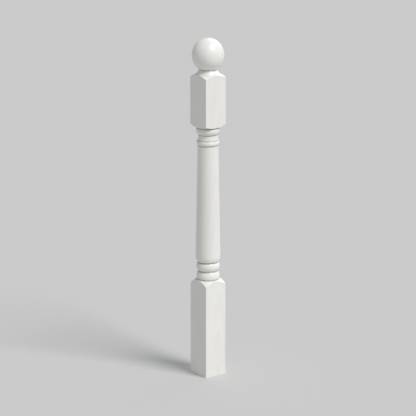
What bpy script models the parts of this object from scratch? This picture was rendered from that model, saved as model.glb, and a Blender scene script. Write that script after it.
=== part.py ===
"""Ball-top newel post: a post turned from a square timber blank, and the wooden ball that crowns it.

Units are metres and +Z is up. The post stands on z = 0 with its axis on Z, and the flats of its square
blocks face along X and Y. The lathe leaves two blocks of the blank square: the base block, and the rail
block that the handrails butt against. Between them stand four beads and a tapered shaft, and above the
rail block a cove rises to the seat of the ball.
"""

import math

import bmesh
import bpy

# The square blank and its eased long edges
BLANK_WIDTH = 0.0889
ARRIS_RADIUS = 0.0015

# Lengths along the axis, one above the other from the floor
BASE_BLOCK_HEIGHT = 0.3340
BASE_SHOULDER_HEIGHT = 0.0198
LOW_BEAD_HEIGHT = 0.0297
FOOT_BEAD_HEIGHT = 0.0330
SHAFT_HEIGHT = 0.4215
COLLAR_BEAD_HEIGHT = 0.0210
NECKING_HEIGHT = 0.0175
CAP_BEAD_HEIGHT = 0.0275
RAIL_LOWER_SHOULDER_HEIGHT = 0.0125
RAIL_BLOCK_HEIGHT = 0.1660
RAIL_UPPER_SHOULDER_HEIGHT = 0.0097
COVE_HEIGHT = 0.0166

# The lower end of the shaft is rounded over this much of its length
SHAFT_ROUNDING_HEIGHT = 0.0220

# Turned diameters
LOW_BEAD_FOOT_DIAMETER = 0.0806
LOW_QUIRK_DIAMETER = 0.0694
FOOT_QUIRK_DIAMETER = 0.0710
SHAFT_FOOT_DIAMETER = 0.0883
SHAFT_TOP_DIAMETER = 0.0738
COLLAR_FOOT_DIAMETER = 0.0694
COLLAR_TOP_DIAMETER = 0.0710
NECKING_FOOT_DIAMETER = 0.0725
NECKING_TOP_DIAMETER = 0.0688
CAP_QUIRK_DIAMETER = 0.0656
CAP_BEAD_TOP_DIAMETER = 0.0784
COVE_FOOT_DIAMETER = 0.0878

# How far each bead stands out, in radius, past the wider of its two ends
LOW_BEAD_PROJECTION = 0.0013
FOOT_BEAD_PROJECTION = 0.0062
COLLAR_BEAD_PROJECTION = 0.0048
CAP_BEAD_PROJECTION = 0.0030

# How far each arc bows off its chord
BASE_SHOULDER_BOW = 0.0014
RAIL_LOWER_SHOULDER_BOW = 0.0018
RAIL_UPPER_SHOULDER_BOW = 0.0003
COVE_BOW = 0.0009

# The ball is a little taller than it is wide, and is cut flat below where it sits on the cove
BALL_DIAMETER = 0.1132
BALL_HEIGHT = 0.1203
BALL_SEAT_CUT = 0.0102
SEAT_JOINT = 0.0003

# Fineness of the facets
TURNED_SIDES = 56
ARC_STEPS = 6
BALL_STEPS = 18
ARRIS_STEPS = 3
MERGE_DISTANCE = 1e-6
SHARP_ANGLE = math.radians(25)

# White enamel
PAINT_COLOUR = (0.86, 0.855, 0.83, 1.0)
PAINT_ROUGHNESS = 0.38


def sweep(centre, radius, first, last):
    """Points on a circle in the (radius, height) plane, after the angle first and up to last."""
    angles = [first + (last - first) * step / ARC_STEPS for step in range(1, ARC_STEPS + 1)]
    return [(centre[0] + radius * math.cos(angle), centre[1] + radius * math.sin(angle)) for angle in angles]


def bowed_arc(start, end, bow):
    """Points after start, up to end above it, on an arc that bows outward, or inward if bow is negative."""
    run, rise = end[0] - start[0], end[1] - start[1]
    chord = math.hypot(run, rise)
    side = math.copysign(1, bow)
    depth = abs(bow)
    radius = (chord**2 / 4 + depth**2) / (2 * depth)
    to_centre = side * (radius - depth) / chord
    centre = ((start[0] + end[0]) / 2 - rise * to_centre, (start[1] + end[1]) / 2 + run * to_centre)
    first = math.atan2(start[1] - centre[1], start[0] - centre[0])
    turn = side * 2 * math.asin(chord / (2 * radius))
    return sweep(centre, radius, first, first + turn)


def bead(start, end, projection):
    """Points after start, up to end above it, on the circle through both that stands out past the wider one.

    The circle reaches the radius widest at the height below over the start. Each end's depth inside that
    reach, and its height from there, give the same circle, and those two conditions fix below.
    """
    widest = max(start[0], end[0]) + projection
    height = end[1] - start[1]
    low, high = widest - start[0], widest - end[0]
    root = math.sqrt(low * high * (height**2 + (high - low) ** 2))
    below = low * (height**2 + high * (high - low)) / (height * low + root)
    radius = (below**2 / low + low) / 2
    centre = (widest - radius, start[1] + below)
    first = math.atan2(start[1] - centre[1], start[0] - centre[0])
    last = math.atan2(end[1] - centre[1], end[0] - centre[0])
    return sweep(centre, radius, first, last)


def rounding(start, end):
    """Points after start, up to end above it, on the quarter ellipse that leaves level and ends upright."""
    angles = [math.pi / 2 * step / ARC_STEPS for step in range(1, ARC_STEPS + 1)]
    reach, height = end[0] - start[0], end[1] - start[1]
    return [(start[0] + reach * math.sin(angle), end[1] - height * math.cos(angle)) for angle in angles]


def stack_heights():
    """The height of the top of each stretch of the post, by its name."""
    lengths = {
        "base block": BASE_BLOCK_HEIGHT,
        "base shoulder": BASE_SHOULDER_HEIGHT,
        "low bead": LOW_BEAD_HEIGHT,
        "foot bead": FOOT_BEAD_HEIGHT,
        "shaft": SHAFT_HEIGHT,
        "collar bead": COLLAR_BEAD_HEIGHT,
        "necking": NECKING_HEIGHT,
        "cap bead": CAP_BEAD_HEIGHT,
        "rail lower shoulder": RAIL_LOWER_SHOULDER_HEIGHT,
        "rail block": RAIL_BLOCK_HEIGHT,
        "rail upper shoulder": RAIL_UPPER_SHOULDER_HEIGHT,
        "cove": COVE_HEIGHT,
    }
    tops = {}
    height = 0
    for name, length in lengths.items():
        height += length
        tops[name] = height
    return tops


def seat_radius():
    """The ball's own radius where it is cut flat, which the top of the cove meets."""
    level = 1 - 2 * BALL_SEAT_CUT / BALL_HEIGHT
    return BALL_DIAMETER / 2 * math.sqrt(1 - level**2)


def post_profile(top):
    """The cut of the lathe, from the waste below the floor up to the seat.

    Beside the two square blocks the cut runs clear of the blank, so there the blank's own faces stay.
    """
    corner = BLANK_WIDTH / math.sqrt(2)
    clear = BLANK_WIDTH

    points = [(0, -clear), (clear, -clear), (clear, top["base block"]), (corner, top["base block"])]
    points += bowed_arc(points[-1], (LOW_BEAD_FOOT_DIAMETER / 2, top["base shoulder"]), BASE_SHOULDER_BOW)
    points += bead(points[-1], (LOW_QUIRK_DIAMETER / 2, top["low bead"]), LOW_BEAD_PROJECTION)
    points += bead(points[-1], (FOOT_QUIRK_DIAMETER / 2, top["foot bead"]), FOOT_BEAD_PROJECTION)

    points += rounding(points[-1], (SHAFT_FOOT_DIAMETER / 2, top["foot bead"] + SHAFT_ROUNDING_HEIGHT))
    points += [(SHAFT_TOP_DIAMETER / 2, top["shaft"]), (COLLAR_FOOT_DIAMETER / 2, top["shaft"])]
    points += bead(points[-1], (COLLAR_TOP_DIAMETER / 2, top["collar bead"]), COLLAR_BEAD_PROJECTION)
    points += [(NECKING_FOOT_DIAMETER / 2, top["collar bead"]), (NECKING_TOP_DIAMETER / 2, top["necking"])]
    points += [(CAP_QUIRK_DIAMETER / 2, top["necking"])]
    points += bead(points[-1], (CAP_BEAD_TOP_DIAMETER / 2, top["cap bead"]), CAP_BEAD_PROJECTION)

    points += bowed_arc(points[-1], (corner, top["rail lower shoulder"]), RAIL_LOWER_SHOULDER_BOW)
    points += [(clear, top["rail lower shoulder"]), (clear, top["rail block"]), (corner, top["rail block"])]
    cove_foot = (COVE_FOOT_DIAMETER / 2, top["rail upper shoulder"])
    points += bowed_arc(points[-1], cove_foot, RAIL_UPPER_SHOULDER_BOW)
    points += bowed_arc(cove_foot, (seat_radius(), top["cove"]), -COVE_BOW)
    return points + [(0, top["cove"])]


def ball_profile(seat):
    """The outline of the ball, from the flat on its seat up to its top."""
    centre = seat + BALL_HEIGHT / 2 - BALL_SEAT_CUT
    first = math.asin((seat - centre) / (BALL_HEIGHT / 2))
    angles = [first + (math.pi / 2 - first) * step / BALL_STEPS for step in range(BALL_STEPS)]
    outline = [
        (BALL_DIAMETER / 2 * math.cos(angle), centre + BALL_HEIGHT / 2 * math.sin(angle)) for angle in angles
    ]
    return [(0, seat)] + outline + [(0, centre + BALL_HEIGHT / 2)]


def new_object(name, mesh):
    """An object in the scene that holds the mesh."""
    piece = bpy.data.objects.new(name, mesh)
    bpy.context.scene.collection.objects.link(piece)
    return piece


def turned(name, profile):
    """An object turned about Z from a profile of (radius, height) points that runs up from the axis to it."""
    mesh = bpy.data.meshes.new(name)
    corners = [(radius, 0, height) for radius, height in reversed(profile)]
    mesh.from_pydata(corners, [(index, index + 1) for index in range(len(corners) - 1)], [])
    piece = new_object(name, mesh)
    screw = piece.modifiers.new("turning", "SCREW")
    screw.steps = TURNED_SIDES
    screw.render_steps = TURNED_SIDES
    screw.use_merge_vertices = True
    screw.merge_threshold = MERGE_DISTANCE
    return piece


def square_blank(height):
    """The sawn blank from the floor up, with its four long edges eased, as a guide for the cut."""
    shape = bmesh.new()
    bmesh.ops.create_cube(shape, size=1)
    bmesh.ops.scale(shape, vec=(BLANK_WIDTH, BLANK_WIDTH, height), verts=shape.verts)
    bmesh.ops.translate(shape, vec=(0, 0, height / 2), verts=shape.verts)
    long_edges = [edge for edge in shape.edges if edge.verts[0].co.xy == edge.verts[1].co.xy]
    bmesh.ops.bevel(
        shape, geom=long_edges, offset=ARRIS_RADIUS, segments=ARRIS_STEPS, profile=0.5, affect="EDGES"
    )
    mesh = bpy.data.meshes.new("square_blank")
    shape.to_mesh(mesh)
    shape.free()
    blank = new_object("square_blank", mesh)
    blank.hide_render = True
    blank.display_type = "WIRE"
    return blank


def settle(piece, material):
    """Keeps what the modifiers make of the piece, shades its rounds smooth and gives it its finish."""
    mesh = bpy.data.meshes.new_from_object(piece.evaluated_get(bpy.context.evaluated_depsgraph_get()))
    piece.modifiers.clear()
    piece.data = mesh
    mesh.shade_smooth()
    mesh.set_sharp_from_angle(angle=SHARP_ANGLE)
    mesh.materials.clear()
    mesh.materials.append(material)


def paint(name):
    """The white enamel that covers a piece."""
    material = bpy.data.materials.new(name)
    material.use_nodes = True
    shader = material.node_tree.nodes["Principled BSDF"]
    shader.inputs["Base Color"].default_value = PAINT_COLOUR
    shader.inputs["Roughness"].default_value = PAINT_ROUGHNESS
    shader.inputs["Metallic"].default_value = 0
    return material


def build_post(top):
    """The post: what the square blank and the cut of the lathe have in common."""
    post = turned("turned_post", post_profile(top))
    blank = square_blank(top["cove"] + BLANK_WIDTH)
    cut = post.modifiers.new("square blank", "BOOLEAN")
    cut.operation = "INTERSECT"
    cut.object = blank
    settle(post, paint("post_paint"))


def build_ball(top):
    """The ball on the flat top of the cove."""
    ball = turned("ball_top", ball_profile(top["cove"] + SEAT_JOINT))
    settle(ball, paint("ball_paint"))


def main():
    """Clears the scene and builds both pieces."""
    for leftover in list(bpy.data.objects):
        bpy.data.objects.remove(leftover, do_unlink=True)
    top = stack_heights()
    build_post(top)
    build_ball(top)


main()
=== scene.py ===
"""The looks of a ball-top newel post: brushed white enamel over turned timber, on a pale studio floor.

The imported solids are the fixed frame. Both of their nodes are replaced by finer surfaces of the same form.
The post is one surface over two parameters, the bearing round its axis and the way up its section. The
section is a row of straight stretches and arcs whose corners are eased, as sanding and paint leave them.
"""

from __future__ import annotations

import logging
import math
from collections.abc import Mapping, Sequence
from dataclasses import dataclass
from enum import Enum

import bpy
import numpy as np
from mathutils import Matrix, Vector

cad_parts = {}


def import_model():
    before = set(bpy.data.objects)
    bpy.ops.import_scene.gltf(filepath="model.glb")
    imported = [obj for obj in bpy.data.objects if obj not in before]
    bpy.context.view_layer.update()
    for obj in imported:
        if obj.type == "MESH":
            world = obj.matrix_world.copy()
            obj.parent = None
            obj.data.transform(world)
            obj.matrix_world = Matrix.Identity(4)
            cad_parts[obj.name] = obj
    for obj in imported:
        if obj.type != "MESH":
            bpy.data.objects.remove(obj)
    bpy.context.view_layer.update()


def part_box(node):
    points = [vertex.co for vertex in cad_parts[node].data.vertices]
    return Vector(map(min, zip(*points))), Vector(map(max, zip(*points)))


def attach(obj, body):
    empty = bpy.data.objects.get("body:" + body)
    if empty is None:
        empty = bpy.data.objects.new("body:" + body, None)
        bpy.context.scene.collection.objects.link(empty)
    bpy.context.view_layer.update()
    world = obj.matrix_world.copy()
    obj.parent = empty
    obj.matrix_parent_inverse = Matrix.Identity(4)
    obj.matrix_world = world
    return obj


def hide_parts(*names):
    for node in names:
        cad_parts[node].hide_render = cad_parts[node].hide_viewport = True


BODY = "root"
NOISE_MEAN = 0.5
LOG = logging.getLogger("newel_post")

# Red, green, blue and alpha; and how many features a pattern has in each metre along each axis.
Colour = tuple[float, float, float, float]
Scale = tuple[float, float, float]


class Worked(Enum):
    """How the timber of a stretch was worked, which decides the marks that it carries."""

    SAWN = "sawn"
    PLANED = "planed"
    TURNED = "turned"


class Light(Enum):
    """What a studio lamp is for."""

    KEY = "key"
    RIM = "rim"


def place(radius: float | np.ndarray, height: float | np.ndarray) -> np.ndarray:
    """A (radius, height) point of the section, or one for each bearing if either is an array over them."""
    return np.stack(np.broadcast_arrays(radius, height), axis=-1)


@dataclass(frozen=True)
class Straight:
    """A straight stretch of the section: the point moves evenly from start to end with the share."""

    start: np.ndarray
    end: np.ndarray
    rows: int
    worked: Worked = Worked.TURNED

    def at(self, share: np.ndarray) -> np.ndarray:
        """The points at these shares of the stretch."""
        return self.start + (self.end - self.start) * share[..., None]

    def length(self) -> np.ndarray:
        """The length of the stretch, at each bearing if it differs."""
        return np.linalg.norm(self.end - self.start, axis=-1)

    def spacing(self) -> np.ndarray:
        """Shares from 0 to 1, closer together at both ends so that the eased corners shade cleanly."""
        return (1 - np.cos(np.linspace(0, np.pi, self.rows))) / 2


@dataclass(frozen=True)
class Round:
    """An arc of the section: the centre plus the two half-axes times the cosine and sine of the angle."""

    centre: np.ndarray
    half_axes: np.ndarray
    first: float | np.ndarray
    last: float | np.ndarray
    rows: int
    worked: Worked = Worked.TURNED

    def at(self, share: np.ndarray) -> np.ndarray:
        """The points at these shares of the turn from the first angle to the last."""
        angle = self.first + (self.last - self.first) * share
        return self.centre + self.half_axes * np.stack([np.cos(angle), np.sin(angle)], axis=-1)

    def length(self) -> np.ndarray:
        """The length of the arc, taking the mean of the half-axes."""
        return np.abs(np.asarray(self.last) - self.first) * self.half_axes.mean()

    def spacing(self) -> np.ndarray:
        """Even shares from 0 to 1."""
        return np.linspace(0, 1, self.rows)


Stretch = Straight | Round


def angle_about(centre: np.ndarray, point: np.ndarray) -> np.ndarray:
    """The angle at which a point of the section stands about a centre."""
    offset = np.asarray(point) - centre
    return np.arctan2(offset[..., 1], offset[..., 0])


def bead_round(start: np.ndarray, end: np.ndarray, projection: float, rows: int) -> Round:
    """The round of a bead: the circle through both ends that stands out past the wider one.

    The height of its widest point over the start follows from the depths of the two ends inside it.

    Args:
        start: the lower end, a (radius, height) point.
        end: the upper end.
        projection: how far the bead's widest radius passes the wider end.
        rows: the number of points along it.

    Returns:
        The arc from start to end.
    """
    widest = max(start[0], end[0]) + projection
    rise = end[1] - start[1]
    low, high = widest - start[0], widest - end[0]
    root = math.sqrt(low * high * (rise**2 + (high - low) ** 2))
    below = low * (rise**2 + high * (high - low)) / (rise * low + root)
    radius = (below**2 / low + low) / 2
    centre = place(widest - radius, start[1] + below)
    ends = angle_about(centre, start), angle_about(centre, end)
    return Round(centre, np.full(2, radius), *ends, rows)


def bowed_circle(start: np.ndarray, end: np.ndarray, bow: float) -> tuple[np.ndarray, float]:
    """The circle of an arc that bows off its chord.

    The radius is (a quarter of the chord squared plus the bow squared) over twice the bow, and the centre
    lies across the chord's middle from the bow.

    Args:
        start: the lower end of the chord.
        end: its upper end.
        bow: how far the arc stands off the chord, outward, or inward if it is negative.

    Returns:
        The centre and the radius.
    """
    chord = np.linalg.norm(end - start)
    depth = abs(bow)
    radius = (chord**2 / 4 + depth**2) / (2 * depth)
    across = np.array([start[1] - end[1], end[0] - start[0]]) / chord
    return (start + end) / 2 + across * math.copysign(radius - depth, bow), radius


def shoulder_round(
    blank_radius: np.ndarray, start: np.ndarray, end: np.ndarray, bow: float, rows: int
) -> Round:
    """A shoulder that the lathe cuts across the square blank.

    Its circle is that of the arc between start and end. Where the blank's surface lies further in
    than the corner of the square, the arc starts or ends on the blank's surface instead.

    Args:
        blank_radius: the blank's radius at every bearing, as a column.
        start: the lower end of the full arc.
        end: its upper end.
        bow: how far the arc bows outward.
        rows: the number of points along it.

    Returns:
        The arc at every bearing.
    """
    centre, radius = bowed_circle(start, end, bow)
    meeting = np.arccos(np.clip((blank_radius - centre[0]) / radius, -1, 1))
    if end[1] < centre[1]:
        meeting = -meeting
    if start[0] > end[0]:
        return Round(centre, np.full(2, radius), meeting, angle_about(centre, end), rows)
    return Round(centre, np.full(2, radius), angle_about(centre, start), meeting, rows)


@dataclass(frozen=True)
class Section:
    """The whole outline of a piece from one pole on its axis to the other, with its corners eased.

    Each corner between two stretches is replaced by a quadratic curve that starts and ends the easing
    short of the corner, or less beside a short stretch, and has the corner as its middle control point.
    A corner that turns by the full turn is marked in full, and its mark fades over the reach of its kind.
    """

    stretches: Sequence[Stretch]
    easings: Sequence[float]
    corner_rows: int = 4
    easing_share: float = 0.45
    full_turn: float = math.radians(55)
    worn_reach: float = 0.0012
    hollow_reach: float = 0.0030

    def rows(self, bearings: int) -> tuple[np.ndarray, list[Worked], list[int]]:
        """All rows of the outline.

        Args:
            bearings: the number of bearings round the axis.

        Returns:
            The points, by bearing and row; how each row was worked; and the row in the middle of each corner.
        """
        parts: list[np.ndarray] = []
        worked: list[Worked] = []
        corners: list[int] = []
        along = np.linspace(0, 1, self.corner_rows + 2)[1:-1, None]
        lengths = [np.broadcast_to(stretch.length(), (bearings, 1)) for stretch in self.stretches]
        eased = [
            np.minimum(np.minimum(before, after) * self.easing_share, easing)
            for before, after, easing in zip(lengths, lengths[1:], self.easings)
        ]
        ends = [np.zeros((bearings, 1)), *eased, np.zeros((bearings, 1))]
        for index, (stretch, length) in enumerate(zip(self.stretches, lengths)):
            head, tail = ends[index] / length, ends[index + 1] / length
            parts.append(stretch.at(head + (1 - head - tail) * stretch.spacing()))
            worked += [stretch.worked] * stretch.rows
            if index + 1 == len(self.stretches):
                break
            following = self.stretches[index + 1]
            before, after = parts[-1][:, -1:], following.at(ends[index + 1] / lengths[index + 1])
            corner = following.at(np.zeros((bearings, 1)))
            corners.append(len(worked) + self.corner_rows // 2)
            parts.append(before * (1 - along) ** 2 + 2 * corner * along * (1 - along) + after * along**2)
            worked += [following.worked] * self.corner_rows
        return np.concatenate(parts, axis=1), worked, corners

    def marks(self, points: np.ndarray, corners: Sequence[int]) -> tuple[np.ndarray, np.ndarray]:
        """How near each point is to a proud corner, and to a hollow one.

        Each field is the largest, over the corners, of the corner's turn as a share of a full one times
        a bell curve of the distance along the section, which ends at the corners on either side of it.
        Proud corners turn left on the way up, hollow ones right.

        Args:
            points: the outline by bearing and row.
            corners: the middle row of each corner.

        Returns:
            The proud field and the hollow field, by bearing and row.
        """
        steps = np.linalg.norm(np.diff(points, axis=1), axis=-1)
        way = np.concatenate([np.zeros((len(points), 1)), np.cumsum(steps, axis=1)], axis=1)
        proud, hollow = np.zeros_like(way), np.zeros_like(way)
        bounds = [0, *corners, way.shape[1]]
        for index, row in enumerate(corners):
            span = self.corner_rows
            before = points[:, row - span] - points[:, row - span - 1]
            after = points[:, row + span] - points[:, row + span - 1]
            cross = before[:, 0] * after[:, 1] - before[:, 1] * after[:, 0]
            turn = np.arctan2(cross, (before * after).sum(axis=1))[:, None] / self.full_turn
            beside = slice(bounds[index], bounds[index + 2])
            distance = way[:, beside] - way[:, row : row + 1]
            worn = turn * np.exp(-((distance / self.worn_reach) ** 2))
            # Nearness to a hollow corner: it drives the painted shade in the quirks and the duller paint
            # there.
            hollow_nearness = -turn * np.exp(-((distance / self.hollow_reach) ** 2))
            proud[:, beside] = np.maximum(proud[:, beside], worn)
            hollow[:, beside] = np.maximum(hollow[:, beside], hollow_nearness)
        return np.clip(proud, 0, 1), np.clip(hollow, 0, 1)


def quads_between(here: np.ndarray, beside: np.ndarray) -> list[list[int]]:
    """Faces of four corners, row by row, between two grids of vertex numbers that lie side by side."""
    return np.stack([here[:-1], beside[:-1], beside[1:], here[1:]], axis=-1).reshape(-1, 4).tolist()


def lathe_mesh(
    name: str, points: np.ndarray, bearings: np.ndarray, fields: Mapping[str, np.ndarray]
) -> bpy.types.Mesh:
    """A closed surface whose rings follow the rows of an outline, with a pole at either end.

    A point is (radius times cosine, radius times sine, height) of its bearing.

    Args:
        name: the mesh's name.
        points: (radius, height) by bearing and row; the first and the last row lie on the axis.
        bearings: the angles round the axis, in order.
        fields: what the finish reads at each vertex, by name; each is by bearing and row.

    Returns:
        The mesh, smooth shaded, its first and last vertices being the poles.
    """
    radius, height = points[:, 1:-1, 0].T, points[:, 1:-1, 1].T
    rings = np.stack([radius * np.cos(bearings), radius * np.sin(bearings), height], axis=-1)
    poles = np.array([[0, 0, points[0, 0, 1]], [0, 0, points[0, -1, 1]]])
    vertices = np.concatenate([poles[:1], rings.reshape(-1, 3), poles[1:]])
    ring_count, count = radius.shape
    here = 1 + np.arange(ring_count * count).reshape(ring_count, count)
    beside = np.roll(here, -1, axis=1)
    first_fan = np.stack([np.zeros(count, int), beside[0], here[0]], axis=-1)
    last_fan = np.stack([here[-1], beside[-1], np.full(count, len(vertices) - 1)], axis=-1)
    mesh = bpy.data.meshes.new(name)
    faces = [*first_fan.tolist(), *quads_between(here, beside), *last_fan.tolist()]
    mesh.from_pydata(vertices, [], faces)
    mesh.shade_smooth()
    for field_name, values in fields.items():
        flat = np.concatenate([values[:1, 0], values[:, 1:-1].T.ravel(), values[:1, -1]])
        attribute = mesh.attributes.new(field_name, "FLOAT", "POINT")
        attribute.data.foreach_set("value", flat.astype(np.float32))
    return mesh


def new_piece(mesh: bpy.types.Mesh, material: bpy.types.Material) -> bpy.types.Object:
    """An object at the origin that holds the mesh, with its finish.

    Args:
        mesh: the mesh, whose name the object takes.
        material: the finish.

    Returns:
        The object, linked to the scene.
    """
    mesh.materials.append(material)
    piece = bpy.data.objects.new(mesh.name, mesh)
    bpy.context.scene.collection.objects.link(piece)
    return piece


@dataclass(frozen=True)
class Reading:
    """A number that varies over a surface: an output socket on which Python's operators add Math nodes."""

    sheet: Sheet
    socket: bpy.types.NodeSocket

    def __add__(self, other: Number) -> Reading:
        """This plus the other."""
        return self.sheet.maths("ADD", self, other)

    def __sub__(self, other: Number) -> Reading:
        """This less the other."""
        return self.sheet.maths("SUBTRACT", self, other)

    def __rsub__(self, other: Number) -> Reading:
        """The other less this."""
        return self.sheet.maths("SUBTRACT", other, self)

    def __mul__(self, other: Number) -> Reading:
        """This times the other."""
        return self.sheet.maths("MULTIPLY", self, other)

    def __truediv__(self, other: Number) -> Reading:
        """This over the other."""
        return self.sheet.maths("DIVIDE", self, other)

    def __pow__(self, other: Number) -> Reading:
        """This to the power of the other."""
        return self.sheet.maths("POWER", self, other)

    __radd__ = __add__
    __rmul__ = __mul__

    def fraction(self) -> Reading:
        """What is left after the whole number."""
        return self.sheet.maths("FRACT", self)

    def step(self, low: float, high: float) -> Reading:
        """A smooth step up.

        Args:
            low: the number up to which the step is 0.
            high: the number from which it is 1.

        Returns:
            The step.
        """
        settings = {"interpolation_type": "SMOOTHSTEP"}
        inputs = {"Value": self, "From Min": low, "From Max": high}
        return self.sheet.reading("ShaderNodeMapRange", settings, inputs, "Result")


Number = float | Reading
Input = float | Sequence[float] | Reading | bpy.types.NodeSocket


class Sheet:
    """The node tree of a finish or of the sky, and the few kinds of node that it is made of."""

    def __init__(self, owner: bpy.types.Material | bpy.types.World) -> None:
        """Starts with an empty tree.

        Args:
            owner: what the tree belongs to.
        """
        owner.use_nodes = True
        self.tree = owner.node_tree
        self.tree.nodes.clear()

    def node(
        self,
        kind: str,
        settings: Mapping[str, object] | None = None,
        inputs: Mapping[str | int, Input] | None = None,
    ) -> bpy.types.Node:
        """Adds a node.

        Args:
            kind: the node's type.
            settings: its own settings, which are set first.
            inputs: for each socket, by name or number, its value or what it is linked to.

        Returns:
            The node.
        """
        made = self.tree.nodes.new(kind)
        for name, value in (settings or {}).items():
            setattr(made, name, value)
        for name, value in (inputs or {}).items():
            source = value.socket if isinstance(value, Reading) else value
            if isinstance(source, bpy.types.NodeSocket):
                self.tree.links.new(source, made.inputs[name])
            else:
                made.inputs[name].default_value = source
        return made

    def reading(
        self,
        kind: str,
        settings: Mapping[str, object] | None,
        inputs: Mapping[str | int, Input],
        output: str | int = 0,
    ) -> Reading:
        """Adds a node and reads one of its outputs as a number."""
        return Reading(self, self.node(kind, settings, inputs).outputs[output])

    def maths(self, operation: str, *values: Number) -> Reading:
        """Adds a Math node on one or two values."""
        return self.reading("ShaderNodeMath", {"operation": operation}, dict(enumerate(values)))

    def coordinates(self) -> bpy.types.NodeSocket:
        """The point on the object, in metres from its origin."""
        return self.node("ShaderNodeTexCoord").outputs["Object"]

    def field(self, name: str) -> Reading:
        """A field that the mesh carries."""
        return self.reading("ShaderNodeAttribute", {"attribute_name": name}, {}, "Fac")

    def split(self, vector: Input) -> tuple[Reading, Reading, Reading]:
        """The three parts of a vector."""
        parts = self.node("ShaderNodeSeparateXYZ", inputs={0: vector}).outputs
        return Reading(self, parts[0]), Reading(self, parts[1]), Reading(self, parts[2])

    def vector(self, x: Number, y: Number, z: Number) -> bpy.types.NodeSocket:
        """A vector from its three parts."""
        return self.node("ShaderNodeCombineXYZ", inputs={0: x, 1: y, 2: z}).outputs[0]

    def vector_maths(self, operation: str, first: Input, second: Input) -> bpy.types.NodeSocket:
        """Adds a Vector Math node on two vectors."""
        return self.node("ShaderNodeVectorMath", {"operation": operation}, {0: first, 1: second}).outputs[0]

    def noise_node(self, vector: Input, scale: Sequence[float], detail: float) -> bpy.types.Node:
        """A Noise Texture with so many features a metre along each axis, under so many finer octaves."""
        scaled = self.vector_maths("MULTIPLY", vector, scale)
        return self.node("ShaderNodeTexNoise", None, {"Vector": scaled, "Scale": 1.0, "Detail": detail})

    def noise(self, vector: Input, scale: Sequence[float], detail: float = 2.0) -> Reading:
        """Smooth noise from 0 to 1."""
        return Reading(self, self.noise_node(vector, scale, detail).outputs["Fac"])

    def drift(self, vector: Input, scale: Sequence[float]) -> bpy.types.NodeSocket:
        """A vector noise, each part of which goes from -0.5 to 0.5."""
        colour = self.noise_node(vector, scale, detail=1.0).outputs["Color"]
        return self.vector_maths("SUBTRACT", colour, (NOISE_MEAN,) * 3)

    def mix(self, share: Input, first: Input, second: Input) -> bpy.types.NodeSocket:
        """A colour between two, second where the share is 1."""
        settings = {"data_type": "RGBA", "clamp_factor": True}
        return self.node("ShaderNodeMix", settings, {0: share, 6: first, 7: second}).outputs[2]

    def close(self, inputs: Mapping[str | int, Input]) -> None:
        """Closes a material's tree with its shader, given the values and links of the shader's sockets."""
        shader = self.node("ShaderNodeBsdfPrincipled", inputs=inputs)
        self.node("ShaderNodeOutputMaterial", inputs={"Surface": shader.outputs[0]})


@dataclass(frozen=True)
class Timber:
    """The growth of the blank: rings round a pith that lies outside the section and leans along it."""

    pith: tuple[float, float]
    lean: tuple[float, float] = (0.006, -0.034)
    ring_width: float = 0.0060
    unevenness: float = 0.011
    uneven_scale: float = 95.0
    wander: float = 0.016
    wander_scale: Scale = (7.0, 7.0, 1.6)
    late_rise: tuple[float, float] = (0.15, 0.80)
    late_fall: tuple[float, float] = (0.84, 1.0)

    def rings(self, sheet: Sheet, point: bpy.types.NodeSocket) -> Reading:
        """The late wood of each year's ring, from 0 in the early wood to 1 at the ring's dense edge.

        The ring is the distance from the pith over the ring width, its fraction is the time of year, and
        the late wood rises slowly and ends sharply in each. A slow drift of the point bends the rings,
        and a noise over the distance makes the years differ.

        Args:
            sheet: the finish that the nodes are added to.
            point: the point on the object.

        Returns:
            The share of late wood.
        """
        drift = sheet.drift(point, self.wander_scale)
        bend = sheet.vector_maths("MULTIPLY", drift, (self.wander,) * 3)
        x, y, z = sheet.split(sheet.vector_maths("ADD", point, bend))
        east = x - self.pith[0] - z * self.lean[0]
        north = y - self.pith[1] - z * self.lean[1]
        distance = (east * east + north * north) ** 0.5
        along = sheet.vector(distance, 0.0, 0.0)
        years = sheet.noise(along, (self.uneven_scale, 0.0, 0.0), detail=0.0)
        season = ((distance + years * self.unevenness) / self.ring_width).fraction()
        return season.step(*self.late_rise) - season.step(*self.late_fall)


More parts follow.
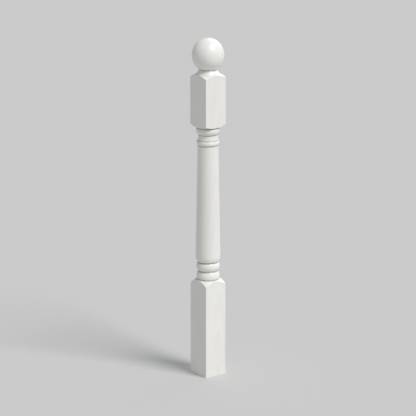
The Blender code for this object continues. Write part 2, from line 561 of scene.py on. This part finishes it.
@dataclass(frozen=True)
class Enamel:
    """Brushed white satin enamel on timber.

    The grain telegraphs through it as a low relief, the brush leaves streaks along the flats and round the
    turned work, it is duller in the quirks, where its colour is darkened as painted shade, and it thins on
    the arrises. Reliefs and the pitch of the saw are in metres, and a band is the low and the high end of a
    step.
    """

    name: str
    timber: Timber
    white: Colour = (0.86, 0.855, 0.83, 1.0)
    shade_tone: Colour = (0.775, 0.765, 0.735, 1.0)
    # Painted shade: the colour that the quirks and the ball's seat are darkened towards, where shade falls.
    quirk_painted_shade: Colour = (0.44, 0.42, 0.385, 1.0)
    arris_tone: Colour = (0.74, 0.69, 0.60, 1.0)
    early_wood: Colour = (0.66, 0.49, 0.31, 1.0)
    late_wood: Colour = (0.40, 0.235, 0.12, 1.0)

    flat_streak_scale: Scale = (300.0, 300.0, 5.0)
    round_streak_scale: Scale = (2.6, 2.6, 340.0)
    fibre_scale: Scale = (420.0, 420.0, 12.0)
    peel_scale: Scale = (260.0, 260.0, 260.0)
    cloud_scale: Scale = (9.0, 9.0, 3.5)
    breakup_scale: Scale = (160.0, 160.0, 60.0)
    least_reach: float = 1e-5
    saw_pitch: float = 0.0021
    saw_wander: float = 2.0

    cloud_band: tuple[float, float] = (0.25, 0.80)
    cloud_shade: float = 0.45
    grain_shade: float = 0.28
    streak_shade: float = 0.18
    # How much of the painted shade is laid into the quirks, and how much a noise varies it.
    quirk_shade_share: float = 0.7
    quirk_shade_breakup: float = 0.4
    worn_band: tuple[float, float] = (0.42, 0.72)
    worn_cover: float = 0.55
    rim_band: tuple[float, float] = (0.45, 0.53)
    rim_breakup: float = 0.9
    late_tint: float = 0.6
    fibre_tint: float = 0.3

    roughness: float = 0.33
    cloud_dulling: float = 0.10
    grain_dulling: float = 0.05
    streak_dulling: float = 0.10
    quirk_dulling: float = 0.2
    arris_polish: float = 0.06
    bare_roughness: float = 0.85
    coat_weight: float = 0.3
    coat_roughness: float = 0.16
    refraction: float = 1.5

    grain_relief: float = 0.00005
    streak_relief: float = 0.00005
    peel_relief: float = 0.00003
    bare_relief: float = 0.00003

    def streaks(self, sheet: Sheet, point: bpy.types.NodeSocket) -> Reading:
        """Brush streaks: long in Z on the planed flats, and running round the axis on the turned work.

        Round the axis, the noise reads the direction of the point, which changes slowly, and its height.
        The least reach keeps the direction finite on the axis.

        Args:
            sheet: the finish that the nodes are added to.
            point: the point on the object.

        Returns:
            The streaks, from 0 to 1.
        """
        x, y, z = sheet.split(point)
        reach = (x * x + y * y) ** 0.5 + self.least_reach
        round_point = sheet.vector(x / reach, y / reach, z)
        along = sheet.noise(point, self.flat_streak_scale)
        across = sheet.noise(round_point, self.round_streak_scale)
        turned = sheet.field("turned")
        return along * (1.0 - turned) + across * turned

    def material(self) -> bpy.types.Material:
        """The finish as a material, which reads the fields proud, hollow, turned and sawn of the mesh.

        The enamel laps a little way over the edge of the sawn underside, and its ragged rim follows a noise.

        Returns:
            The material.
        """
        material = bpy.data.materials.new(self.name)
        sheet = Sheet(material)
        point = sheet.coordinates()
        late = self.timber.rings(sheet, point)
        streaks = self.streaks(sheet, point)
        fibre = sheet.noise(point, self.fibre_scale)
        peel = sheet.noise(point, self.peel_scale)
        cloud = sheet.noise(point, self.cloud_scale, detail=3.0)
        breakup = sheet.noise(point, self.breakup_scale, detail=4.0)
        proud, hollow = sheet.field("proud"), sheet.field("hollow")
        ragged = sheet.field("sawn") + breakup * self.rim_breakup - self.rim_breakup * NOISE_MEAN
        sawn = ragged.step(*self.rim_band)

        shade = cloud.step(*self.cloud_band) * self.cloud_shade
        shade = shade + late * self.grain_shade + streaks * self.streak_shade
        coat = sheet.mix(shade, self.white, self.shade_tone)
        # Painted shade: the colour darkens in the hollow corners and just above the ball's seat, where shade
        # falls, broken up by a noise.
        coat = sheet.mix(hollow * (self.quirk_shade_share + breakup * self.quirk_shade_breakup), coat, self.quirk_painted_shade)
        coat = sheet.mix(proud * breakup.step(*self.worn_band) * self.worn_cover, coat, self.arris_tone)

        saw_marks = (sheet.split(point)[0] / self.saw_pitch + cloud * self.saw_wander).fraction()
        tint = late * self.late_tint + fibre * self.fibre_tint
        wood = sheet.mix(tint, self.early_wood, self.late_wood)

        gloss = self.roughness + (cloud - NOISE_MEAN) * self.cloud_dulling + late * self.grain_dulling
        gloss = gloss + (streaks - NOISE_MEAN) * self.streak_dulling + hollow * self.quirk_dulling
        gloss = gloss - proud * self.arris_polish
        painted = late * self.grain_relief + streaks * self.streak_relief + peel * self.peel_relief
        bare = saw_marks * self.bare_relief + fibre * self.bare_relief
        relief = painted * (1.0 - sawn) + bare * sawn
        bump = sheet.node("ShaderNodeBump", None, {"Strength": 1.0, "Distance": 1.0, "Height": relief})
        sheet.close({
            "Base Color": sheet.mix(sawn, coat, wood),
            "Roughness": gloss * (1.0 - sawn) + sawn * self.bare_roughness,
            "Coat Weight": (1.0 - sawn) * self.coat_weight,
            "Normal": bump.outputs[0],
            "IOR": self.refraction,
            "Coat IOR": self.refraction,
            "Coat Roughness": self.coat_roughness,
        })
        return material


@dataclass(frozen=True)
class SquareBlank:
    """The square blank with its eased long edges, as a radius at every bearing."""

    width: float
    arris: float
    flat_columns: int = 19
    arris_columns: int = 4

    def bearings(self) -> np.ndarray:
        """Angles round the axis, spread over each half flat and each half arris alike.

        A half flat is divided by its own width, closer together towards the arris, and a half arris by the
        turn of its round.

        Returns:
            The angles in order, over a whole turn.
        """
        half, flat = self.width / 2, self.width / 2 - self.arris
        spread = np.sin(np.linspace(0, np.pi / 2, self.flat_columns, endpoint=False))
        along_flat = np.arctan2(flat * spread, half)
        turn = np.linspace(0, np.pi / 4, self.arris_columns, endpoint=False)
        along_arris = np.arctan2(flat + self.arris * np.sin(turn), flat + self.arris * np.cos(turn))
        octant = np.concatenate([along_flat, along_arris])
        quarter = np.sort(np.concatenate([octant, np.pi / 2 - octant[:0:-1], [np.pi / 4]]))
        return np.concatenate([quarter + quadrant * np.pi / 2 for quadrant in range(4)])

    @staticmethod
    def off_flat(bearings: np.ndarray) -> np.ndarray:
        """The angle between each bearing and the middle of the flat that it meets."""
        return np.abs((bearings + np.pi / 4) % (np.pi / 2) - np.pi / 4)

    def radius(self, bearings: np.ndarray) -> np.ndarray:
        """The blank's radius: half its width over the cosine on a flat, the round of the edge at an arris.

        At an arris it is the far crossing of the bearing with the circle of the edge, whose centre lies
        at c on the diagonal: c.u plus the root of (c.u squared less c squared plus the arris squared).

        Args:
            bearings: the angles round the axis.

        Returns:
            The radius at each bearing.
        """
        angle = self.off_flat(bearings)
        half, flat = self.width / 2, self.width / 2 - self.arris
        on_flat = half / np.cos(angle)
        across = flat * (np.cos(angle) + np.sin(angle))
        on_arris = across + np.sqrt(np.maximum(across**2 - 2 * flat**2 + self.arris**2, 0))
        return np.where(half * np.tan(angle) <= flat, on_flat, on_arris)

    def arris_nearness(self, bearings: np.ndarray, reach: float) -> np.ndarray:
        """A bell curve of the distance along the flat from its arris.

        Args:
            bearings: the angles round the axis.
            reach: the distance at which the curve has fallen to 1 / e.

        Returns:
            The curve at each bearing, 1 on the arris itself.
        """
        half = self.width / 2
        gap = np.maximum((half - self.arris) - half * np.tan(self.off_flat(bearings)), 0)
        return np.exp(-((gap / reach) ** 2))


@dataclass
class TurnedPost:
    """The post: a square blank on which the lathe leaves a base block and a rail block square.

    Heights are lengths along the axis, one above the other from the floor, and sizes are in metres.
    """

    node: str = "turned_post"
    slot: str = "post_paint"
    arris: float = 0.0015
    base_block: float = 0.3340
    base_shoulder: float = 0.0198
    low_bead: float = 0.0297
    foot_bead: float = 0.0330
    shaft: float = 0.4215
    collar_bead: float = 0.0210
    necking: float = 0.0175
    cap_bead: float = 0.0275
    rail_lower_shoulder: float = 0.0125
    rail_block: float = 0.1660
    rail_upper_shoulder: float = 0.0097
    cove: float = 0.0166
    shaft_rounding: float = 0.0220
    low_bead_foot_diameter: float = 0.0806
    low_quirk_diameter: float = 0.0694
    foot_quirk_diameter: float = 0.0710
    shaft_foot_diameter: float = 0.0883
    shaft_top_diameter: float = 0.0738
    collar_foot_diameter: float = 0.0694
    collar_top_diameter: float = 0.0710
    necking_foot_diameter: float = 0.0725
    necking_top_diameter: float = 0.0688
    cap_quirk_diameter: float = 0.0656
    cap_bead_top_diameter: float = 0.0784
    cove_foot_diameter: float = 0.0878
    low_bead_projection: float = 0.0013
    foot_bead_projection: float = 0.0062
    collar_bead_projection: float = 0.0048
    cap_bead_projection: float = 0.0030
    base_shoulder_bow: float = 0.0014
    rail_lower_shoulder_bow: float = 0.0018
    rail_upper_shoulder_bow: float = 0.0003
    cove_bow: float = 0.0009
    enamel_lap: float = 0.0070
    proud_easing: float = 0.0007
    quirk_easing: float = 0.0003
    seat_easing: float = 0.0012
    finish: Enamel = Enamel("post_enamel", Timber(pith=(0.012, -0.112)))

    def section(self, blank: SquareBlank, bearings: np.ndarray, seat_radius: float) -> Section:
        """The outline from the middle of the underside to the middle of the seat.

        Args:
            blank: the square blank.
            bearings: the angles round the axis.
            seat_radius: the radius of the flat that the ball sits on.

        Returns:
            The outline.
        """
        side = blank.radius(bearings)[:, None]
        corner = blank.width / math.sqrt(2)
        (
            over_base_block, over_base_shoulder, over_low_bead, over_foot_bead, over_shaft,
            over_collar_bead, over_necking, over_cap_bead, over_lower_shoulder, over_rail_block,
            over_upper_shoulder, over_cove,
        ) = np.cumsum([
            self.base_block, self.base_shoulder, self.low_bead, self.foot_bead, self.shaft,
            self.collar_bead, self.necking, self.cap_bead, self.rail_lower_shoulder, self.rail_block,
            self.rail_upper_shoulder, self.cove,
        ])
        base_corner = place(corner, over_base_block)
        low_foot = place(self.low_bead_foot_diameter / 2, over_base_shoulder)
        low_quirk = place(self.low_quirk_diameter / 2, over_low_bead)
        foot_quirk = place(self.foot_quirk_diameter / 2, over_foot_bead)
        shaft_foot = place(self.shaft_foot_diameter / 2, over_foot_bead + self.shaft_rounding)
        shaft_top = place(self.shaft_top_diameter / 2, over_shaft)
        collar_foot = place(self.collar_foot_diameter / 2, over_shaft)
        collar_top = place(self.collar_top_diameter / 2, over_collar_bead)
        necking_foot = place(self.necking_foot_diameter / 2, over_collar_bead)
        necking_top = place(self.necking_top_diameter / 2, over_necking)
        cap_quirk = place(self.cap_quirk_diameter / 2, over_necking)
        cap_top = place(self.cap_bead_top_diameter / 2, over_cap_bead)
        rail_foot_corner = place(corner, over_lower_shoulder)
        rail_head_corner = place(corner, over_rail_block)
        cove_foot = place(self.cove_foot_diameter / 2, over_upper_shoulder)
        seat_edge = place(seat_radius, over_cove)

        base_shoulder = shoulder_round(side, base_corner, low_foot, self.base_shoulder_bow, rows=18)
        rail_foot = shoulder_round(side, cap_top, rail_foot_corner, self.rail_lower_shoulder_bow, rows=18)
        rail_head = shoulder_round(side, rail_head_corner, cove_foot, self.rail_upper_shoulder_bow, rows=12)
        start, end = np.zeros((1, 1)), np.ones((1, 1))
        rounding_centre = place(foot_quirk[0], shaft_foot[1])
        cove_centre, cove_radius = bowed_circle(cove_foot, seat_edge, -self.cove_bow)
        cove_axes = np.full(2, cove_radius)
        cove_turn = (angle_about(cove_centre, point) % (2 * math.pi) for point in (cove_foot, seat_edge))
        proud, quirk = self.proud_easing, self.quirk_easing
        steps: list[tuple[Stretch, float]] = [
            (Straight(place(0.0, 0.0), place(side, 0.0), rows=12, worked=Worked.SAWN), proud),
            (Straight(place(side, 0.0), base_shoulder.at(start), rows=44, worked=Worked.PLANED), proud),
            (base_shoulder, quirk),
            (bead_round(low_foot, low_quirk, self.low_bead_projection, rows=20), quirk),
            (bead_round(low_quirk, foot_quirk, self.foot_bead_projection, rows=24), quirk),
            (Round(rounding_centre, shaft_foot - foot_quirk, -math.pi / 2, 0.0, rows=22), quirk),
            (Straight(shaft_foot, shaft_top, rows=44), quirk),
            (Straight(shaft_top, collar_foot, rows=4), quirk),
            (bead_round(collar_foot, collar_top, self.collar_bead_projection, rows=22), quirk),
            (Straight(collar_top, necking_foot, rows=3), quirk),
            (Straight(necking_foot, necking_top, rows=10), quirk),
            (Straight(necking_top, cap_quirk, rows=3), quirk),
            (bead_round(cap_quirk, cap_top, self.cap_bead_projection, rows=24), quirk),
            (rail_foot, proud),
            (Straight(rail_foot.at(end), rail_head.at(start), rows=30, worked=Worked.PLANED), proud),
            (rail_head, quirk),
            (Round(cove_centre, cove_axes, *cove_turn, rows=22), self.seat_easing),
        ]
        seat = Straight(seat_edge, place(0.0, over_cove), rows=8)
        stretches, easings = zip(*steps)
        return Section([*stretches, seat], easings)

    def build(self, seat_radius: float) -> bpy.types.Object:
        """Makes the post, dresses it and puts it in place of its node.

        Args:
            seat_radius: the radius of the flat that the ball sits on.

        Returns:
            The post's object.
        """
        low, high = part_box(self.node)
        blank = SquareBlank(width=high.x - low.x, arris=self.arris)
        bearings = blank.bearings()
        section = self.section(blank, bearings, seat_radius)
        points, worked, corners = section.rows(len(bearings))
        proud, hollow = section.marks(points, corners)
        sawn, planed, turned = (np.array([work is kind for work in worked], float) for kind in Worked)
        on_arris = planed * blank.arris_nearness(bearings, section.worn_reach)[:, None]
        inside = np.clip((blank.radius(bearings)[:, None] - points[..., 0]) / self.enamel_lap, 0, 1)
        mesh = lathe_mesh("newel_post", points, bearings, {
            "proud": np.maximum(proud, on_arris),
            "hollow": hollow,
            "turned": np.broadcast_to(turned, proud.shape),
            "sawn": sawn * inside,
        })
        post = new_piece(mesh, self.finish.material())
        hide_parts(self.node)
        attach(post, BODY)
        return post


@dataclass
class TurnedBall:
    """The ball, a little taller than it is wide, cut flat below where it sits on the cove."""

    node: str = "ball_top"
    slot: str = "ball_paint"
    diameter: float = 0.1132
    height: float = 0.1203
    seat_cut: float = 0.0102
    columns: int = 176
    rows: int = 96
    easing: float = 0.0012
    finish: Enamel = Enamel("ball_enamel", Timber(pith=(-0.060, 0.118)))

    def seat_radius(self) -> float:
        """The ball's own radius where it is cut flat."""
        return self.diameter / 2 * math.sqrt(1 - (1 - 2 * self.seat_cut / self.height) ** 2)

    def build(self) -> bpy.types.Object:
        """Makes the ball, dresses it and puts it in place of its node.

        Returns:
            The ball's object.
        """
        low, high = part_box(self.node)
        centre = place(0.0, high.z - self.height / 2)
        half_axes = np.array([(high.x - low.x) / 2, self.height / 2])
        seat_angle = math.asin((low.z - centre[1]) / half_axes[1])
        seat_edge = place(self.seat_radius(), low.z)
        underside = Straight(place(0.0, low.z), seat_edge, rows=10)
        dome = Round(centre, half_axes, seat_angle, math.pi / 2, self.rows)
        section = Section([underside, dome], [self.easing])
        bearings = np.linspace(0, 2 * math.pi, self.columns, endpoint=False)
        points, _, corners = section.rows(len(bearings))
        _, hollow = section.marks(points, corners)
        # Painted shadow: the ball is darkened just above its seat, where the joint lies in shade.
        near_seat = np.exp(-(((points[..., 1] - low.z) / section.hollow_reach) ** 2))
        mesh = lathe_mesh("newel_ball", points, bearings, {
            "proud": np.zeros_like(hollow),
            "hollow": np.maximum(hollow, near_seat),
            "turned": np.ones_like(hollow),
            "sawn": np.zeros_like(hollow),
        })
        ball = new_piece(mesh, self.finish.material())
        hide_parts(self.node)
        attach(ball, BODY)
        return ball


@dataclass(frozen=True)
class Lamp:
    """A far, wide softbox: parallel light whose spread of directions softens its shadow.

    Only the key casts one, so that a single soft shadow lies on the floor.
    """

    use: Light
    bearing: float
    elevation: float
    spread: float
    strength: float
    colour: tuple[float, float, float] = (1.0, 1.0, 1.0)

    def build(self) -> bpy.types.Object:
        """Sets the lamp up.

        Returns:
            The lamp's object.
        """
        data = bpy.data.lights.new(self.use.value, "SUN")
        data.angle = math.radians(self.spread)
        data.energy = self.strength
        data.color = self.colour
        data.use_shadow = self.use is Light.KEY
        lamp = bpy.data.objects.new(self.use.value, data)
        bpy.context.scene.collection.objects.link(lamp)
        back = direction_back(self.bearing, self.elevation)
        lamp.rotation_euler = (-back).to_track_quat("-Z", "Y").to_euler()
        return lamp


def direction_back(bearing: float, elevation: float) -> Vector:
    """The direction from the object to where it is seen from.

    Args:
        bearing: degrees round the post; at 0 the view is along +Y, and at 90 along -X.
        elevation: degrees above the horizon.

    Returns:
        The unit vector.
    """
    turn, rise = math.radians(bearing), math.radians(elevation)
    return Vector((math.sin(turn) * math.cos(rise), -math.cos(turn) * math.cos(rise), math.sin(rise)))


@dataclass
class Studio:
    """The pale floor, the soft light and the camera at the drawing's viewing angle."""

    floor_width: float = 90.0
    floor_squares: int = 4
    floor_tone: Colour = (0.51, 0.51, 0.5075, 1.0)
    floor_roughness: float = 0.7
    mottle_roughness: float = 0.1
    mottle_scale: Scale = (3.0, 3.0, 3.0)
    sky_tone: Colour = (0.95, 0.975, 1.0, 1.0)
    sky_strength: float = 0.40
    horizon_tone: Colour = (0.590, 0.594, 0.590, 1.0)
    bearing: float = -38.4
    elevation: float = 14.9
    aim_height: float = 0.6104
    distance: float = 8.80
    focal_pixels: float = 2500.0
    frame_pixels: float = 416.0
    sensor_width: float = 36.0
    lamps: tuple[Lamp, ...] = (
        Lamp(Light.KEY, bearing=12.0, elevation=50.0, spread=24.0, strength=2.40, colour=(1.0, 0.985, 0.96)),
        Lamp(Light.RIM, bearing=114.0, elevation=32.0, spread=40.0, strength=1.20, colour=(0.96, 0.98, 1.0)),
    )

    def floor(self) -> bpy.types.Object:
        """A flat square floor under the post, divided evenly into squares.

        Returns:
            The floor's object.
        """
        edge = np.linspace(-self.floor_width / 2, self.floor_width / 2, self.floor_squares + 1)
        x, y = np.meshgrid(edge, edge)
        points = np.stack([x, y, np.zeros_like(x)], axis=-1).reshape(-1, 3)
        numbers = np.arange(x.size).reshape(x.shape)
        mesh = bpy.data.meshes.new("studio_floor")
        mesh.from_pydata(points, [], quads_between(numbers[:, :-1], numbers[:, 1:]))
        material = bpy.data.materials.new("studio_floor")
        sheet = Sheet(material)
        mottle = sheet.noise(sheet.coordinates(), self.mottle_scale)
        sheet.close({
            "Base Color": self.floor_tone,
            "Roughness": self.floor_roughness + mottle * self.mottle_roughness,
            "Specular IOR Level": 0.0,
        })
        floor = new_piece(mesh, material)
        return floor

    def camera(self) -> bpy.types.Object:
        """The camera, with a long lens whose focal length in frame pixels was fitted to the drawing.

        Returns:
            The camera's object.
        """
        data = bpy.data.cameras.new("camera")
        data.sensor_width = self.sensor_width
        data.lens = self.sensor_width * self.focal_pixels / self.frame_pixels
        data.clip_end = self.floor_width * 2
        camera = bpy.data.objects.new("camera", data)
        bpy.context.scene.collection.objects.link(camera)
        back = direction_back(self.bearing, self.elevation)
        camera.location = Vector((0, 0, self.aim_height)) + back * self.distance
        camera.rotation_euler = (-back).to_track_quat("-Z", "Y").to_euler()
        bpy.context.scene.camera = camera
        return camera

    def sky(self) -> bpy.types.World:
        """An even pale surround that fills the shadows, and that the camera sees in the floor's tone.

        Returns:
            The world.
        """
        world = bpy.data.worlds.new("studio")
        sheet = Sheet(world)
        fill = sheet.node("ShaderNodeBackground", None, {0: self.sky_tone, 1: self.sky_strength})
        seen = sheet.node("ShaderNodeBackground", None, {0: self.horizon_tone, 1: 1.0})
        path = sheet.node("ShaderNodeLightPath").outputs["Is Camera Ray"]
        both = sheet.node("ShaderNodeMixShader", None, {0: path, 1: fill.outputs[0], 2: seen.outputs[0]})
        sheet.node("ShaderNodeOutputWorld", None, {"Surface": both.outputs[0]})
        bpy.context.scene.world = world
        return world

    def build(self) -> list[bpy.types.Object]:
        """Sets up the floor, the sky, the lamps and the camera.

        Returns:
            The objects of the studio.
        """
        self.sky()
        bpy.context.scene.view_settings.view_transform = "Standard"
        return [self.floor(), *(lamp.build() for lamp in self.lamps), self.camera()]


def report(piece: bpy.types.Object) -> None:
    """Logs a piece: its name, what it is and, for a mesh, how many faces it has."""
    faces = f", {len(piece.data.polygons)} faces" if piece.type == "MESH" else ""
    LOG.info("%s: %s%s", piece.name, piece.type.lower(), faces)


def main() -> None:
    """Builds the post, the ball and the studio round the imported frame."""
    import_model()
    ball = TurnedBall()
    report(TurnedPost().build(ball.seat_radius()))
    report(ball.build())
    for piece in Studio().build():
        report(piece)


if __name__ == "__main__":
    logging.basicConfig(level=logging.INFO, format="%(name)s: %(message)s")
    main()
